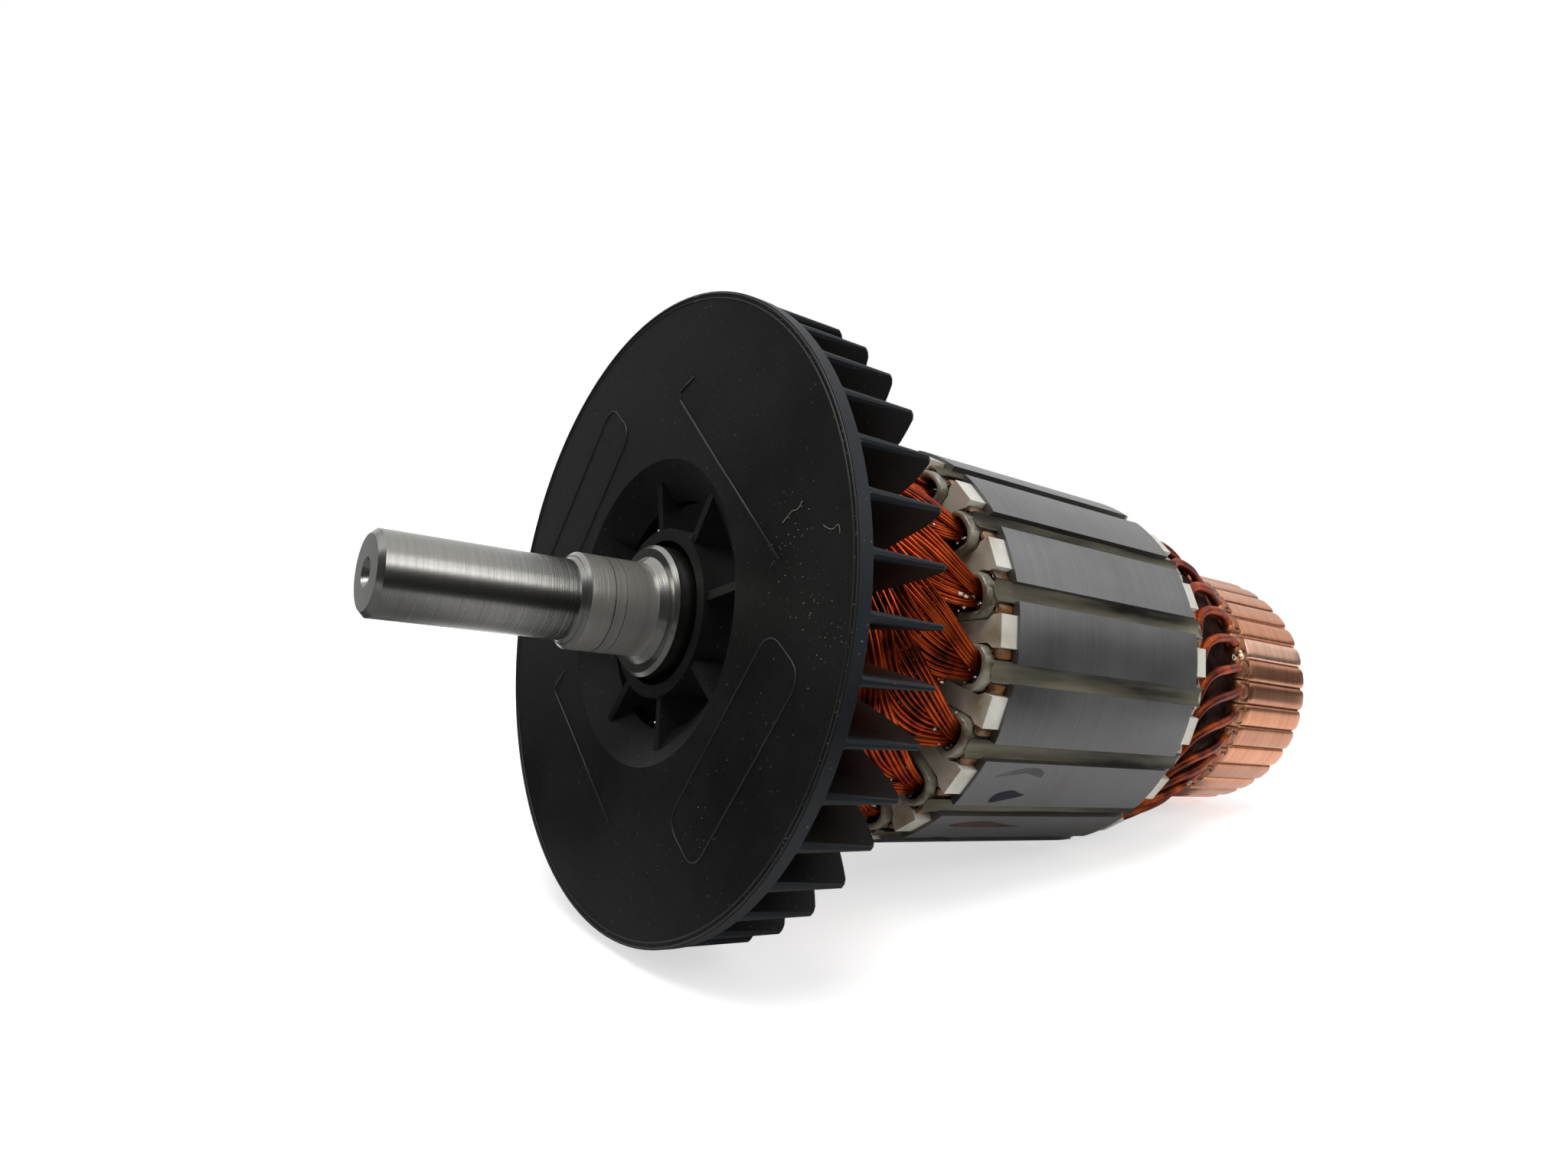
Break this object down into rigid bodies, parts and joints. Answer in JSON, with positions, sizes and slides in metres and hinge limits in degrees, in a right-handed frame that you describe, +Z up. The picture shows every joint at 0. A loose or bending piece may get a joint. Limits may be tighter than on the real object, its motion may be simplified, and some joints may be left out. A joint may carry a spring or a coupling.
{
  "type": "motor armature",
  "caption": "Wound armature of a universal motor: steel shaft with moulded cooling fan, slotted laminated core, varnished copper coils and a copper-bar commutator.",
  "frame": {"origin": "centre of the bottom of the bounding box, on the surface that the armature lies on", "axes": "+Z up, +Y level along the part from the drive end to the commutator end, +X across; the shaft slopes down towards +Y because the fan is larger than the commutator"},
  "size_m": [0.0824, 0.1754, 0.083],
  "materials": {
    "turned_steel": "fine turned and ground steel, bright, with a light oil film",
    "fan_plastic": "black glass-filled plastic, slightly satin, dusty",
    "sleeve_plastic": "dark insulating tube",
    "core_steel": "ground edges of thin steel sheets, grey, with thin varnish and ink stains",
    "end_plate": "cream moulded insulation with amber varnish in the corners",
    "liner_paper": "olive beige insulating paper, varnished",
    "enamelled_wire": "copper wire with red-brown enamel under glossy varnish",
    "bar_copper": "turned copper, pale salmon, browner on the risers",
    "mica": "brown mica, cut back below the bars",
    "hub_moulding": "dark phenolic moulding"
  },
  "bodies": {
    "root": {"shaft": "turned_steel", "fan": "fan_plastic", "fan_blades": "fan_plastic", "shaft_sleeve": "sleeve_plastic", "lamination_stack": "core_steel", "front_end_insulator": "end_plate", "rear_end_insulator": "end_plate", "slot_liners": "liner_paper", "lead_wrap": "enamelled_wire", "lead_wires": "enamelled_wire", "commutator_bars": "bar_copper", "mica_plates": "mica", "commutator_hub": "hub_moulding", "coil_01": "enamelled_wire", "coil_02": "enamelled_wire", "coil_03": "enamelled_wire", "coil_04": "enamelled_wire", "coil_05": "enamelled_wire", "coil_06": "enamelled_wire", "coil_07": "enamelled_wire", "coil_08": "enamelled_wire", "coil_09": "enamelled_wire", "coil_10": "enamelled_wire", "coil_11": "enamelled_wire", "coil_12": "enamelled_wire", "coil_13": "enamelled_wire", "coil_14": "enamelled_wire", "coil_15": "enamelled_wire", "coil_16": "enamelled_wire", "coil_17": "enamelled_wire"}
  },
  "joints": []
}
